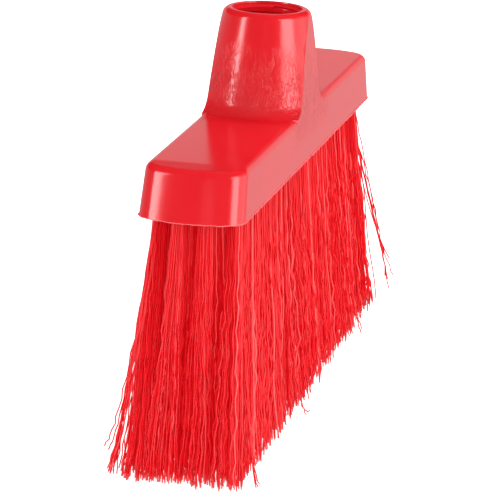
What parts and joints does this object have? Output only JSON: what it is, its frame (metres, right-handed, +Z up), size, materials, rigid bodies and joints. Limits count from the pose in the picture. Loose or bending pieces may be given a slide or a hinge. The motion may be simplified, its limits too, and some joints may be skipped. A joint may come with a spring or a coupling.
{
  "type": "broom head",
  "caption": "Upright sweeping broom head: a long moulded block with a threaded handle socket on top and rows of stiff crimped bristle tufts that spread below it.",
  "frame": {"origin": "on the surface that the bristle tips stand on, under the middle of the block and of the handle socket", "axes": "+X along the block, +Y across it, +Z up through the handle socket"},
  "size_m": [0.3396, 0.0556, 0.1784],
  "materials": {
    "block_plastic": "satin",
    "bristle_filament": "satin"
  },
  "bodies": {
    "root": {"block": "block_plastic", "tufts_row1_01": "bristle_filament", "tufts_row1_02": "bristle_filament", "tufts_row1_03": "bristle_filament", "tufts_row1_04": "bristle_filament", "tufts_row1_05": "bristle_filament", "tufts_row1_06": "bristle_filament", "tufts_row1_07": "bristle_filament", "tufts_row1_08": "bristle_filament", "tufts_row1_09": "bristle_filament", "tufts_row1_10": "bristle_filament", "tufts_row1_11": "bristle_filament", "tufts_row1_12": "bristle_filament", "tufts_row1_13": "bristle_filament", "tufts_row2_01": "bristle_filament", "tufts_row2_02": "bristle_filament", "tufts_row2_03": "bristle_filament", "tufts_row2_04": "bristle_filament", "tufts_row2_05": "bristle_filament", "tufts_row2_06": "bristle_filament", "tufts_row2_07": "bristle_filament", "tufts_row2_08": "bristle_filament", "tufts_row2_09": "bristle_filament", "tufts_row2_10": "bristle_filament", "tufts_row2_11": "bristle_filament", "tufts_row2_12": "bristle_filament", "tufts_row2_13": "bristle_filament", "tufts_row2_14": "bristle_filament", "tufts_row3_01": "bristle_filament", "tufts_row3_02": "bristle_filament", "tufts_row3_03": "bristle_filament", "tufts_row3_04": "bristle_filament", "tufts_row3_05": "bristle_filament", "tufts_row3_06": "bristle_filament", "tufts_row3_07": "bristle_filament", "tufts_row3_08": "bristle_filament", "tufts_row3_09": "bristle_filament", "tufts_row3_10": "bristle_filament", "tufts_row3_11": "bristle_filament", "tufts_row3_12": "bristle_filament", "tufts_row3_13": "bristle_filament", "tufts_row3_14": "bristle_filament", "tufts_row4_01": "bristle_filament", "tufts_row4_02": "bristle_filament", "tufts_row4_03": "bristle_filament", "tufts_row4_04": "bristle_filament", "tufts_row4_05": "bristle_filament", "tufts_row4_06": "bristle_filament", "tufts_row4_07": "bristle_filament", "tufts_row4_08": "bristle_filament", "tufts_row4_09": "bristle_filament", "tufts_row4_10": "bristle_filament", "tufts_row4_11": "bristle_filament", "tufts_row4_12": "bristle_filament", "tufts_row4_13": "bristle_filament"}
  },
  "joints": []
}
